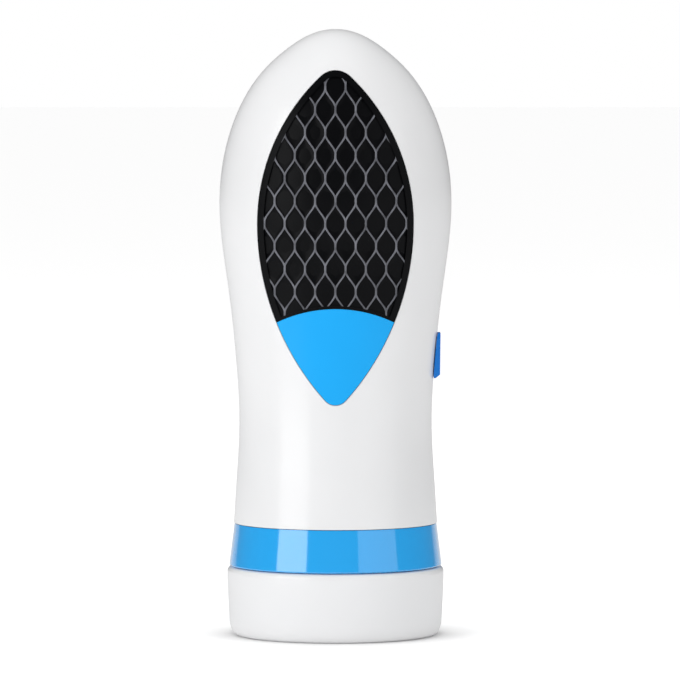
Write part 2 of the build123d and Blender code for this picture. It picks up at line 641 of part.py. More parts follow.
# ---------------------------------------------------------------- gears
PRESSURE = radians(20)
BACKLASH = 0.07
TIP_RELIEF = 0.02
GEAR_HUB_R = 3.2
GEAR_RIM_IN = 6.2         # inner radius of its rim
GEAR_RECESS = 1.2         # depth of the recess in each face
GEAR_HOLES = 4            # lightening holes in the web
GEAR_HOLE_R = 0.9
GEAR_HOLE_RING = 4.7
GEAR_HUB_LOW = 0.3        # how far its hub stands out below and above
GEAR_HUB_HIGH = 0.5
PINION_OVERHANG = 0.4     # how far the pinion's teeth pass the gear's on each side


def gear_outline(teeth, shift):
    """Involute gear outline with its first tooth on +X; shift moves the profile outwards."""
    pitch = GEAR_MODULE * teeth / 2
    base = pitch * cos(PRESSURE)
    tip = pitch + GEAR_MODULE * (1 + shift) - TIP_RELIEF
    root = pitch - GEAR_MODULE * (1.25 - shift)
    half = (pi / 2 + 2 * shift * tan(PRESSURE)) / teeth - BACKLASH / (2 * pitch)
    involute_at_pitch = tan(PRESSURE) - PRESSURE

    def flank(radius):
        alpha = acos(min(1.0, base / radius))
        return half + involute_at_pitch - (tan(alpha) - alpha)

    low = max(base, root)
    radii = [low + (tip - low) * k / 4 for k in range(5)]
    edges = []
    for k in range(teeth):
        middle = 2 * pi * k / teeth

        def at(radius, angle):
            return radius * cos(middle + angle), radius * sin(middle + angle)

        right = [at(r, -flank(r)) for r in radii]
        left = [at(r, flank(r)) for r in reversed(radii)]
        if root < base:
            edges.append(Line(at(root, -flank(low)), right[0]))
            edges.append(Line(left[-1], at(root, flank(low))))
        edges.append(Spline(*right))
        edges.append(ThreePointArc(right[-1], at(tip, 0), left[0]))
        edges.append(Spline(*left))
        gap = pi / teeth
        start = at(min(root, low), flank(low))
        end = at(min(root, low), 2 * gap - flank(low))
        edges.append(ThreePointArc(start, at(root, gap), end))
    return make_face(edges)


def drive_gear():
    """Spur gear on the spindle, web lightened by four holes."""
    gear = Pos(0, 0, GEAR_Z0) * extrude(gear_outline(GEAR_TEETH, -TOOTH_SHIFT), GEAR_Z1 - GEAR_Z0)
    for z0, z1 in ((GEAR_Z0 - 1, GEAR_Z0 + GEAR_RECESS), (GEAR_Z1 - GEAR_RECESS, GEAR_Z1 + 1)):
        gear -= tube(GEAR_RIM_IN, GEAR_HUB_R, z0, z1)
    gear += cylinder(GEAR_HUB_R, GEAR_Z0 - GEAR_HUB_LOW, GEAR_Z1 + GEAR_HUB_HIGH)
    for k in range(GEAR_HOLES):
        x, y = polar(GEAR_HOLE_RING, 45 + 360 / GEAR_HOLES * k)
        gear -= cylinder(GEAR_HOLE_R, GEAR_Z0 - 1, GEAR_Z1 + 1, x, y)
    return gear - cylinder(SPINDLE_R + SNUG, 0, FAR)


MOTOR_SHAFT_R = 1.0


def motor_pinion():
    """Brass pinion pressed on the motor shaft, turned so that its teeth mesh with the gear's."""
    outline = gear_outline(PINION_TEETH, TOOTH_SHIFT)
    pinion = extrude(outline, GEAR_Z1 - GEAR_Z0 + 2 * PINION_OVERHANG)
    past_line = -270 % (360 / GEAR_TEETH)   # from the line of centres to the gear's next tooth
    turn = 90 + 180 / PINION_TEETH - past_line * GEAR_TEETH / PINION_TEETH
    pinion = Pos(0, MOTOR_Y, GEAR_Z0 - PINION_OVERHANG) * Rot(0, 0, turn) * pinion
    return pinion - cylinder(MOTOR_SHAFT_R + SNUG, 0, FAR, 0, MOTOR_Y)


# ---------------------------------------------------------------- spindle group
CARRIER_Z0 = DISC_Z + DISC_T
CARRIER_T = 2.2
SEAT_Z = CARRIER_Z0 + CARRIER_T         # lower end of the spindle
HUB_TOP = DECK_BOSS_Z0 - 1.7
BUSH2_Z1 = PLATE_Z1 + 1.6
CLIP_Z0 = BUSH2_Z1 + 0.25
CLIP_T = 0.6
CLIP_GROOVE_R = 1.15
CLIP_R = 2.55
CARRIER_SCREW_R = 0.9
CARRIER_SCREW_HEAD_R = 1.9
CARRIER_SCREW_HEAD_T = 1.15
CARRIER_SCREW_REACH = 4.5 # thread length in the spindle
CARRIER_SEAT = 1.3        # depth of the screw's seat above the disc
SCREW_POCKET_R = 2.2
CARRIER_HUB_R = 4.4
CARRIER_RIBS = 8
CARRIER_RIB_T = 0.9
CARRIER_RIB_H = 1.2       # height of the ribs and of the rim that joins them
CARRIER_SKIRT = 0.6       # rim round the disc's upper edge
CARRIER_EDGE = 0.5
SPINDLE_FLAT = 1.15       # flat of the spindle, from its axis
SPINDLE_BEVEL = 0.25
SPINDLE_END = 1.0         # how far it runs on above the clip
CLIP_MOUTH = 0.9          # half width of the clip's mouth
DISC_EDGE = 0.6


def spindle():
    """Steel spindle with a flat for the carrier, a tapped lower end and a clip groove."""
    top = CLIP_Z0 + CLIP_T + SPINDLE_END
    shaft = cylinder(SPINDLE_R, SEAT_Z + SNUG, top)
    shaft = chamfer(shaft.edges().filter_by(GeomType.CIRCLE), SPINDLE_BEVEL)
    shaft -= tube(SPINDLE_R + 1, CLIP_GROOVE_R, CLIP_Z0 - 0.05, CLIP_Z0 + CLIP_T + 0.05)
    shaft -= block(SPINDLE_FLAT, 3, -3, 3, 0, HUB_TOP)
    return shaft - cylinder(CARRIER_SCREW_R + SNUG, 0, SEAT_Z + CARRIER_SCREW_REACH + 0.5)


def spindle_clip():
    """Retaining ring that stops the spindle dropping out of its bushes."""
    ring = tube(CLIP_R, CLIP_GROOVE_R + SNUG, CLIP_Z0, CLIP_Z0 + CLIP_T)
    return ring - block(0, 5, -CLIP_MOUTH, CLIP_MOUTH, CLIP_Z0 - 1, CLIP_Z0 + CLIP_T + 1)


def bush(z0, z1, flange_z0):
    """Flanged bronze bush."""
    ring = cylinder(BUSH_R, z0, z1) + cylinder(BUSH_FLANGE_R, flange_z0, flange_z0 + BUSH_FLANGE_T)
    return ring - cylinder(SPINDLE_R + RUN_FIT, 0, FAR)


def disc_carrier():
    """Turning plate: rim, hub with a flat on the spindle, and stiffening ribs."""
    top = CARRIER_Z0 + CARRIER_T
    plate = cylinder(CARRIER_R, CARRIER_Z0, top)
    plate = fillet(plate.edges().filter_by(GeomType.CIRCLE).sort_by(Axis.Z)[-1], CARRIER_EDGE)
    plate += tube(CARRIER_R, DISC_R + 0.1, CARRIER_Z0 - CARRIER_SKIRT, CARRIER_Z0 + JOIN)
    plate += tube(CARRIER_R - 0.8, CARRIER_R - 2.0, top - JOIN, top + CARRIER_RIB_H)
    plate += cylinder(CARRIER_HUB_R, top - JOIN, HUB_TOP)
    half = CARRIER_RIB_T / 2
    for k in range(CARRIER_RIBS):
        rib = block(CARRIER_HUB_R - 4 * JOIN, CARRIER_R - 1.5, -half, half, top - JOIN, top + CARRIER_RIB_H)
        plate += Rot(0, 0, 360 / CARRIER_RIBS * (k + 0.5)) * rib
    bore = cylinder(SPINDLE_R + SNUG, SEAT_Z, FAR)
    bore -= block(SPINDLE_FLAT + SNUG, 3, -3, 3, 0, HUB_TOP + 1)
    plate -= bore
    plate -= cylinder(SCREW_POCKET_R, 0, CARRIER_Z0 + CARRIER_SEAT)
    return plate - cylinder(CARRIER_SCREW_R + HOLE_CLEAR, 0, SEAT_Z + 1)


def carrier_screw():
    """Screw up through the carrier into the spindle's tapped end."""
    seat = CARRIER_Z0 + CARRIER_SEAT
    half = SLOT_WIDTH / 2
    head = cylinder(CARRIER_SCREW_HEAD_R, seat - CARRIER_SCREW_HEAD_T, seat)
    head -= block(-2.5, 2.5, -half, half, seat - 2, seat - 0.7)
    return head + cylinder(CARRIER_SCREW_R, seat - JOIN, SEAT_Z + CARRIER_SCREW_REACH)


def abrasive_disc():
    """Stick-on abrasive disc with a softened working edge."""
    disc = cylinder(DISC_R, DISC_Z, DISC_Z + DISC_T - SNUG)
    return fillet(disc.edges().filter_by(GeomType.CIRCLE).sort_by(Axis.Z)[0], DISC_EDGE)


# ---------------------------------------------------------------- motor and its plate
CAN_WALL = 0.8
NOSE_R = 3.0
NOSE_H = 1.5
SHAFT_CLEAR = 0.05
PLUG_T = 1.5              # how deep the end cap plugs into the can
BRUSH_ROOM_R = 6.0
BRUSH_ROOM_T = 4.0
BRUSH_Z = CAN_TOP + 2.2   # middle of the brush arms
ARMATURE_R = 6.3
ARMATURE_Z0 = MOTOR_Z0 + 4.0
ARMATURE_Z1 = MOTOR_Z0 + 15.5
POLES = 3
POLE_TURN = 30.0          # angle of the first pole
CORE_R = 2.2
COMMUTATOR_R = 2.6
SHOE_T = 1.1              # thickness of the pole shoes
COIL_END = 0.9            # how far the coils pass the core's ends
SOCKET_WALL = 1.4         # collar of the motor plate, round the motor's foot
SOCKET_H = 5.0
MOTOR_CLEAR = 0.1
BUSH_BOSS_R = 5.0
CLIP_ARM_T = 1.5          # two snap arms beside the motor
CLIP_ARM_HALF = 2.5
CLIP_HOOK = 1.4           # reach and height of their hooks
TERMINAL_X = 7.2
TERMINAL_T = 0.5
TERMINAL_RISE = 2.6       # how far the tabs stand above the end cap
TERMINAL_HOLE_R = 0.4
MAGNET_HALF = 5.2


def motor_section(radius, flat):
    """Round section with two flats."""
    return Circle(radius) & Rectangle(2 * radius + 1, 2 * flat)


def at_motor(shape):
    """Moves a shape drawn on the motor's own axis to its place."""
    return Pos(0, MOTOR_Y, 0) * shape


def motor_plate():
    """Plate over the gears: upper bush seat, motor collar and two snap arms."""
    plate = cylinder(PLATE_R, PLATE_Z0, PLATE_Z1)
    plate += cylinder(BUSH_BOSS_R, PLATE_Z1 - JOIN, BUSH2_Z1)
    pocket = motor_section(MOTOR_R + MOTOR_CLEAR, MOTOR_FLAT + MOTOR_CLEAR)
    collar = motor_section(MOTOR_R + SOCKET_WALL, MOTOR_FLAT + SOCKET_WALL) - pocket
    collar = at_motor(Pos(0, 0, PLATE_Z1 - JOIN) * extrude(collar, SOCKET_H + JOIN))
    plate += collar & cylinder(PLATE_R, 0, FAR)
    plate -= at_motor(Pos(0, 0, PLATE_Z1) * extrude(pocket, FAR))
    plate -= cylinder(CLIP_R + 0.4, BUSH2_Z1, FAR)
    plate -= cylinder(BUSH_R + SNUG, 0, FAR)
    plate -= cylinder(BUSH_FLANGE_R + MOTOR_CLEAR, PLATE_Z0 - 1, PLATE_Z0 + BUSH_FLANGE_T)
    plate -= cylinder(NOSE_R + MOTOR_CLEAR, 0, FAR, 0, MOTOR_Y)
    y0, y1 = MOTOR_Y - CLIP_ARM_HALF, MOTOR_Y + CLIP_ARM_HALF
    x = MOTOR_R + HOLE_CLEAR
    top = MOTOR_TOP + CLIP_HOOK
    for turn in (0, 180):
        arm = block(x, x + CLIP_ARM_T, y0, y1, PLATE_Z1 - JOIN, top)
        hook = block(x - CLIP_HOOK, x + JOIN, y0, y1, MOTOR_TOP + MOTOR_CLEAR, top)
        plate += Pos(0, MOTOR_Y, 0) * Rot(0, 0, turn) * Pos(0, -MOTOR_Y, 0) * (arm + hook)
    for angle in POST_ANGLES:
        x, y = polar(POST_RING_R, angle)
        plate -= cylinder(POST_SCREW_R + HOLE_CLEAR, 0, FAR, x, y)
    return plate


def plate_screws():
    """Three screws that hold the motor plate on the ring's posts."""
    screws = []
    for angle in POST_ANGLES:
        x, y = polar(POST_RING_R, angle)
        top = PLATE_Z1 + POST_SCREW_HEAD_T
        head = cylinder(POST_SCREW_HEAD_R, PLATE_Z1 + SNUG, top, x, y)
        head -= Pos(x, y, top) * Box(5, SLOT_WIDTH, 1.2)
        shank = cylinder(POST_SCREW_R, PLATE_Z1 - POST_SCREW_LENGTH, PLATE_Z1 + JOIN, x, y)
        screws.append(head + shank)
    return Compound(children=screws)


def motor_can():
    """Steel can with its nose."""
    can = Pos(0, 0, MOTOR_Z0) * extrude(motor_section(MOTOR_R, MOTOR_FLAT), CAN_LENGTH)
    hollow = motor_section(MOTOR_R - CAN_WALL, MOTOR_FLAT - CAN_WALL)
    can -= Pos(0, 0, MOTOR_Z0 + CAN_WALL) * extrude(hollow, CAN_LENGTH)
    can += cylinder(NOSE_R, MOTOR_Z0 - NOSE_H, MOTOR_Z0 + JOIN)
    return at_motor(can - cylinder(MOTOR_SHAFT_R + SHAFT_CLEAR, 0, FAR))


def motor_endcap():
    """Plastic end cap, plugged into the can, with slots for the terminals."""
    plug = motor_section(MOTOR_R - CAN_WALL - SNUG, MOTOR_FLAT - CAN_WALL - SNUG)
    cover = motor_section(MOTOR_R - 0.1, MOTOR_FLAT - 0.1)
    shape = Pos(0, 0, CAN_TOP - PLUG_T) * extrude(plug, PLUG_T + JOIN)
    shape += Pos(0, 0, CAN_TOP + SNUG) * extrude(cover, ENDCAP_T)
    shape -= cylinder(BRUSH_ROOM_R, CAN_TOP - 3, CAN_TOP + BRUSH_ROOM_T)
    shape -= cylinder(MOTOR_SHAFT_R + SHAFT_CLEAR, 0, FAR)
    half = TERMINAL_T / 2 + 0.1
    for side in (-1, 1):
        x = side * TERMINAL_X
        shape -= block(x - half, x + half, -1.1, 1.1, CAN_TOP + 2.0, FAR)
        shape -= Pos(x - side, 0, BRUSH_Z + 0.1) * Box(2.0, 1.8, 0.6)
    return at_motor(shape)


def motor_terminals():
    """Two brass solder tabs with their brush arms, which stop just short of the commutator."""
    tabs = []
    half = TERMINAL_T / 2
    for side in (-1, 1):
        x = side * TERMINAL_X
        tab = block(x - half, x + half, -1.0, 1.0, CAN_TOP + 2.05, MOTOR_TOP + TERMINAL_RISE)
        tab -= Pos(x, 0, MOTOR_TOP + TERMINAL_RISE - 1) * Rot(0, 90, 0) * Cylinder(TERMINAL_HOLE_R, 2)
        tab += Pos(side * 5.1, 0, BRUSH_Z) * Box(4.3, 1.6, 0.3)
        tab += Pos(side * 3.2, 0, BRUSH_Z) * Box(0.5, 1.6, 1.4)
        tabs.append(at_motor(tab))
    return Compound(children=tabs)


def motor_magnets():
    """Two ferrite arcs inside the can."""
    ring = tube(MOTOR_R - CAN_WALL - SNUG, ARMATURE_R + 0.7, ARMATURE_Z0 - 0.8, ARMATURE_Z1 + 0.8)
    arc = ring & block(0, 2 * MOTOR_R, -MAGNET_HALF, MAGNET_HALF, 0, FAR)
    return Compound(children=[at_motor(Rot(0, 0, turn) * arc) for turn in (180, 0)])


def motor_shaft():
    """Steel shaft from the pinion to the end cap."""
    shaft = cylinder(MOTOR_SHAFT_R, GEAR_Z0 - 0.7, MOTOR_TOP + 0.6, 0, MOTOR_Y)
    return chamfer(shaft.edges().filter_by(GeomType.CIRCLE), 0.2)


def motor_armature():
    """Three-pole laminated core and the commutator on the shaft."""
    core = cylinder(CORE_R, ARMATURE_Z0, ARMATURE_Z1 + 1.5)
    shoe_ring = tube(ARMATURE_R, ARMATURE_R - SHOE_T, ARMATURE_Z0, ARMATURE_Z1)
    wedge = extrude(Polygon((0, 0), (12, -15), (12, 15), align=None), ARMATURE_Z1)
    for k in range(POLES):
        turn = Rot(0, 0, POLE_TURN + 360 / POLES * k)
        core += turn * (shoe_ring & wedge)
        core += turn * block(1.5, ARMATURE_R - 0.6, -1.1, 1.1, ARMATURE_Z0, ARMATURE_Z1)
    core += cylinder(COMMUTATOR_R, ARMATURE_Z1 + 1.5, CAN_TOP + 3.0)
    return at_motor(core - cylinder(MOTOR_SHAFT_R + SNUG, 0, FAR))


def motor_windings():
    """Copper coil round each pole."""
    coil = block(2.5, ARMATURE_R - SHOE_T - 0.25, -2.4, 2.4, ARMATURE_Z0 - COIL_END, ARMATURE_Z1 + COIL_END)
    coil &= extrude(Polygon((0.6, 0), (12, -18), (12, 18), align=None), FAR)
    coil &= cylinder(ARMATURE_R - SHOE_T - JOIN, 0, FAR)
    coil -= block(0, 9, -1.12, 1.12, ARMATURE_Z0 - SNUG, ARMATURE_Z1 + SNUG)
    turns = [Rot(0, 0, POLE_TURN + 360 / POLES * k) for k in range(POLES)]
    return Compound(children=[at_motor(turn * coil) for turn in turns])


# ---------------------------------------------------------------- switch
BUTTON_GAP = 0.25
FRAME_X1 = -3.1           # outer face of the switch frame, below the casing's surface
FRAME_T = 3.4
FRAME_X0 = FRAME_X1 - FRAME_T
FRAME_WALL = 0.4
FRAME_HALF_W = 2.8
FRAME_HALF_L = 6.0
BASE_T = 1.3
LEVER_HALF = 0.9
LEVER_Z = -0.4            # middle of the lever at rest, along the slide
LEVER_CLEAR = 0.3         # round the lever in its opening
BUTTON_ROUND = 1.6        # corners of its footprint
BUTTON_BEVEL = 1.1
BUTTON_ROOT = -1.5        # how deep its side profile starts
DISH_R = 8.0              # the thumb's hollow
DISH_Z = 0.3
DISH_DEPTH = 0.6
DISH_RIM = 1.2            # rim left at its sides
GRIP_RIBS = 3
FLANGE_X0 = -3.0          # flange inside the casing
FLANGE_X1 = -2.25
FLANGE_HALF = 2.6
FLANGE_REACH = 1.2
SOCKET_CLEAR = 0.1


def switch_button():
    """Blue slide button: wedge-shaped thumb piece, stem through the slot and inner flange."""
    half_l, half_w = BUTTON_LENGTH / 2, BUTTON_WIDTH / 2
    side = make_face(Polyline(
        (BUTTON_ROOT, -half_l), (BUTTON_LOW_T - BUTTON_BEVEL, -half_l),
        (BUTTON_LOW_T, -half_l + BUTTON_BEVEL), (BUTTON_TOP_T, half_l), (BUTTON_ROOT, half_l), close=True))
    thumb = Pos(0, half_w, 0) * extrude(Plane.XZ * side, BUTTON_WIDTH)
    footprint = Plane.YZ * RectangleRounded(BUTTON_WIDTH, BUTTON_LENGTH, BUTTON_ROUND)
    thumb &= Pos(-3, 0, 0) * extrude(footprint, 6)
    dish = Rot(90, 0, 0) * Cylinder(DISH_R, BUTTON_WIDTH - 2 * DISH_RIM)
    thumb -= Pos(BUTTON_LOW_T - DISH_DEPTH + DISH_R, 0, DISH_Z) * dish
    for k in range(GRIP_RIBS):
        thumb += Pos(0, 0, 1.6 * k) * block(0.3, 0.85, -half_w + 1.5, half_w - 1.5, -1.7, -1.1)
    stem = block(-2.4, 0.6, -STEM_HALF, STEM_HALF, STEM_Z0, STEM_Z1)
    flange = block(FLANGE_X0, FLANGE_X1, -FLANGE_HALF, FLANGE_HALF,
                   STEM_Z0 - FLANGE_REACH, STEM_Z1 + FLANGE_REACH)
    half = LEVER_HALF + SOCKET_CLEAR
    socket = block(-4, -1.2, -half, half, LEVER_Z - half, LEVER_Z + half)
    shape = switch_seat * thumb - body(BUTTON_GAP)
    shape += switch_seat * stem
    shape += switch_seat * flange
    return shape - switch_seat * socket


def switch_frame():
    """Pressed steel frame of the slide switch, open where the lever moves."""
    wide, tall = FRAME_HALF_W, FRAME_HALF_L
    wide_in, tall_in = wide - FRAME_WALL, tall - FRAME_WALL
    frame = block(FRAME_X0, FRAME_X1, -wide, wide, -tall, tall)
    frame -= block(FRAME_X0 - 1, FRAME_X1 - FRAME_WALL, -wide_in, wide_in, -tall_in, tall_in)
    half = LEVER_HALF + LEVER_CLEAR
    frame -= block(FRAME_X0, FRAME_X1 + 1, -half, half, LEVER_Z - half, LEVER_Z + half + SWITCH_TRAVEL)
    return switch_seat * frame


def switch_base():
    """Insulating base that carries the switch's terminals."""
    half_w = FRAME_HALF_W - FRAME_WALL - 0.05
    half_l = FRAME_HALF_L - FRAME_WALL - 0.05
    return switch_seat * block(FRAME_X0 + 0.05, FRAME_X0 + BASE_T, -half_w, half_w, -half_l, half_l)


def switch_lever():
    """Lever between the switch's contacts and the button's stem."""
    x0 = FRAME_X0 + BASE_T + JOIN
    post = block(x0, -1.4, -LEVER_HALF, LEVER_HALF, LEVER_Z - LEVER_HALF, LEVER_Z + LEVER_HALF)
    foot = block(x0, x0 + 1.1, -1.9, 1.9, LEVER_Z - 1.9, LEVER_Z + 1.4)
    return switch_seat * (post + foot)


TERMINALS_Z = [-3.6, 0.0, 3.6]


def switch_terminals():
    """Three pins that leave the base towards the front."""
    pin = block(FRAME_X0 + 0.5, FRAME_X0 + 0.8, -5.6, -FRAME_HALF_W - 0.03, -0.5, 0.5)
    return Compound(children=[switch_seat * Pos(0, 0, z) * pin for z in TERMINALS_Z])


# ---------------------------------------------------------------- leads
LEAD_R = 0.6
SEAL_R = 4.6              # felt seal and thrust washer on the spindle
WASHER_R = 3.0


def lead(points):
    """An insulated lead along straight runs joined by the largest arcs that they allow."""
    vectors = [Vector(*p) for p in points]
    radii = []
    for a, b, c in zip(vectors, vectors[1:], vectors[2:]):
        turn = radians((b - a).get_angle(c - b))
        radii.append(0.45 * min((b - a).length, (c - b).length) / tan(turn / 2))
    path = FilletPolyline(*vectors, radius=radii)
    start = Plane(origin=path @ 0, z_dir=path % 0)
    return sweep(start * Circle(LEAD_R), path)


def leads():
    """Leads from the tray to the motor and through the switch."""
    tab_z = BAY_Z0 + CONTACT_T / 2
    tab_y = TAB_Y - 0.05
    half = AA_PITCH / 2
    motor_z = MOTOR_TOP + TERMINAL_RISE + 0.1
    pin_x = FRAME_X0 + 0.65
    low, high = [(switch_seat * Pos(pin_x, -5.7, z)).position for z in TERMINALS_Z[:2]]
    negative = lead([
        (-half, tab_y, tab_z),
        (-half, tab_y - 4.0, tab_z + 1.0),
        (-7.6, MOTOR_Y + 0.8, tab_z + 5.5),
        (-7.0, MOTOR_Y - 1.6, tab_z + 5.0),
        (-TERMINAL_X, MOTOR_Y, motor_z),
    ])
    positive = lead([
        (half, tab_y, tab_z),
        (half + 0.4, tab_y - 3.5, tab_z + 0.4),
        (12.0, tab_y - 5.5, tab_z + 1.6),
        (low.X - 0.6, low.Y - 2.6, low.Z - 0.3),
        (low.X, low.Y, low.Z),
    ])
    switched = lead([
        (high.X, high.Y, high.Z),
        (high.X - 0.5, high.Y - 3.5, high.Z + 0.5),
        (11.5, MOTOR_Y - 1.5, tab_z + 6.5),
        (7.6, MOTOR_Y - 1.0, tab_z + 5.5),
        (TERMINAL_X, MOTOR_Y, motor_z),
    ])
    return negative, positive, switched


def dust_seal():
    """Felt washer under the deck's boss, round the spindle."""
    return tube(SEAL_R, SPINDLE_R + 0.1, HUB_TOP + 0.25, DECK_BOSS_Z0 - SNUG)


def tray_screws():
    """Two screws through the tray's floor into the front shell's posts."""
    screws = []
    for z in TRAY_SCREWS_Z:
        head = rod_y(TRAY_SCREW_HEAD_R, TRAY_FLOOR_Y + SNUG, TRAY_FLOOR_Y + TRAY_SCREW_HEAD_T, 0, z)
        screws.append(head + rod_y(TRAY_SCREW_R, TRAY_SCREW_END_Y, TRAY_FLOOR_Y + JOIN, 0, z))
    return Compound(children=screws)


def thrust_washer():
    """Washer between the lower bush and the gear."""
    z0 = DECK_BOSS_Z1 + BUSH_FLANGE_T
    return tube(WASHER_R, SPINDLE_R + 0.08, z0 + 0.05, GEAR_Z0 - GEAR_HUB_LOW - 0.05)


def main():
    blank = casing_blank()
    save("front_shell", front_shell(blank))
    save("back_shell", back_shell(blank))
    save("shell_screws", shell_screws())
    panel = panel_blank()
    save("grip_pad", grip_pad(panel))
    save("grip_tip", grip_tip(panel))
    save("battery_door", battery_door())
    save("door_foam", door_foam())
    save("battery_tray", battery_tray())
    save("tray_screws", tray_screws())
    save("battery_left", cell(-AA_PITCH / 2, True))
    save("battery_right", cell(AA_PITCH / 2, False))
    save("contact_negative", end_contact(-1))
    save("contact_positive", end_contact(1))
    save("contact_bridge", bridge_contact())
    save("contact_spring_lower", contact_spring(-AA_PITCH / 2, BAY_Z0 + CONTACT_T, CELL_LOW))
    save("contact_spring_upper", contact_spring(AA_PITCH / 2, BAY_Z1 - CONTACT_T, CELL_HIGH))
    save("head_ring", head_ring())
    save("cap", cap())
    save("bush_lower", bush(DECK_BOSS_Z0 + 0.02, DECK_BOSS_Z1 + 0.1, DECK_BOSS_Z1 + 0.02))
    save("bush_upper", bush(PLATE_Z0 + 0.1, BUSH2_Z1, PLATE_Z0 - 0.02))
    save("thrust_washer", thrust_washer())
    save("dust_seal", dust_seal())
    save("spindle", spindle())
    save("spindle_clip", spindle_clip())
    save("drive_gear", drive_gear())
    save("disc_carrier", disc_carrier())
    save("carrier_screw", carrier_screw())
    save("abrasive_disc", abrasive_disc())
    save("motor_plate", motor_plate())
    save("plate_screws", plate_screws())
    save("motor_can", motor_can())
    save("motor_endcap", motor_endcap())
    save("motor_terminals", motor_terminals())
    save("motor_magnets", motor_magnets())
    save("motor_shaft", motor_shaft())
    save("motor_armature", motor_armature())
    save("motor_windings", motor_windings())
    save("motor_pinion", motor_pinion())
    save("switch_button", switch_button())
    save("switch_frame", switch_frame())
    save("switch_base", switch_base())
    save("switch_lever", switch_lever())
    save("switch_terminals", switch_terminals())
    negative, positive, switched = leads()
    save("lead_negative", negative)
    save("lead_positive", positive)
    save("lead_switched", switched)


main()
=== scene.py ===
import json
import math

import bpy
import numpy as np
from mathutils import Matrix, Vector
from mathutils.bvhtree import BVHTree


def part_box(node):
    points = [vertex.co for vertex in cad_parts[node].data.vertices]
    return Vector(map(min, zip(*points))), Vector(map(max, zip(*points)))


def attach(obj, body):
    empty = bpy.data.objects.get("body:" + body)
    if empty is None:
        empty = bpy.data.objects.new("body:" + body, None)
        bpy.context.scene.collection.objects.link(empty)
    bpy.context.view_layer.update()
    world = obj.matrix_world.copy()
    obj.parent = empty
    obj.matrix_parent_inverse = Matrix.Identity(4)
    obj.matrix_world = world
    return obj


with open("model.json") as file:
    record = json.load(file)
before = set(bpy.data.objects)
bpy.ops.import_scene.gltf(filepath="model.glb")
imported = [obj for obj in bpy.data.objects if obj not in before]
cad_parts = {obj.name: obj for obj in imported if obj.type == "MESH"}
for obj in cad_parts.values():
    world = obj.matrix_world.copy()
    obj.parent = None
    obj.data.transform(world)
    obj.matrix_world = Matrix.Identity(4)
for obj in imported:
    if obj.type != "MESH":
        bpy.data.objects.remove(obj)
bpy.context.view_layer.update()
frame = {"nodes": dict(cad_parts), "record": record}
nodes = frame["nodes"]
MM = 0.001


# ---------------------------------------------------------------- materials
class Tree:
    """A material's node tree around one Principled shader, textured in the object's own space."""

    def __init__(self, name):
        self.material = bpy.data.materials.new(name)
        self.material.use_nodes = True
        self.nodes = self.material.node_tree.nodes
        self.links = self.material.node_tree.links
        self.shader = self.nodes["Principled BSDF"]
        self.place = self.nodes.new("ShaderNodeTexCoord").outputs["Object"]

    def noise(self, size_mm, detail=3.0, stretch=(1, 1, 1)):
        """Noise whose blotches are about size_mm wide; stretch squeezes it along an axis."""
        mapping = self.nodes.new("ShaderNodeMapping")
        mapping.inputs["Scale"].default_value = stretch
        self.links.new(self.place, mapping.inputs["Vector"])
        node = self.nodes.new("ShaderNodeTexNoise")
        node.inputs["Scale"].default_value = 1 / (size_mm * MM)
        node.inputs["Detail"].default_value = detail
        self.links.new(mapping.outputs["Vector"], node.inputs["Vector"])
        return node.outputs["Fac"]

    def cells(self, size_mm):
        """Voronoi distance with cells about size_mm wide."""
        node = self.nodes.new("ShaderNodeTexVoronoi")
        node.inputs["Scale"].default_value = 1 / (size_mm * MM)
        self.links.new(self.place, node.inputs["Vector"])
        return node.outputs["Distance"]

    def spread(self, value, low, high, start=0.3, end=0.7):
        """Maps value from start..end to low..high."""
        node = self.nodes.new("ShaderNodeMapRange")
        limits = {"From Min": start, "From Max": end, "To Min": low, "To Max": high}
        for name, number in limits.items():
            node.inputs[name].default_value = number
        self.links.new(value, node.inputs["Value"])
        return node.outputs["Result"]

    def mix(self, factor, first, second):
        """Blends two colours by a factor."""
        node = self.nodes.new("ShaderNodeMix")
        node.data_type = "RGBA"
        node.inputs["A"].default_value = (*first, 1)
        node.inputs["B"].default_value = (*second, 1)
        self.links.new(factor, node.inputs["Factor"])
        return node.outputs["Result"]

    def bump(self, height, depth_mm, strength=1.0, below=None):
        """A bump of the given depth, laid over another one where below is its output."""
        node = self.nodes.new("ShaderNodeBump")
        node.inputs["Distance"].default_value = depth_mm * MM
        node.inputs["Strength"].default_value = strength
        self.links.new(height, node.inputs["Height"])
        if below is not None:
            self.links.new(below, node.inputs["Normal"])
        return node.outputs["Normal"]

    def set(self, **values):
        """Sets or links the shader's sockets, named with _ for a space."""
        for name, value in values.items():
            socket = self.shader.inputs[name.replace("_", " ")]
            if isinstance(value, bpy.types.NodeSocket):
                self.links.new(value, socket)
            else:
                socket.default_value = value


def shade(colour, factor):
    """The colour made lighter or darker."""
    return tuple(min(1.0, c * factor) for c in colour)


def gloss_plastic(name, colour, roughness, ior=1.5, coat=0.0, coat_ior=1.55):
    """Moulded glossy plastic with a slight drift of colour, under a clear coat where coat is set."""
    tree = Tree(name)
    drift = tree.noise(22, detail=2)
    tree.set(
        Base_Color=tree.mix(tree.spread(drift, 0, 1), shade(colour, 0.985), shade(colour, 1.01)),
        Roughness=roughness,
        IOR=ior,
    )
    if coat:
        tree.set(Coat_Weight=coat, Coat_Roughness=roughness * 0.5, Coat_IOR=coat_ior)
    return tree.material


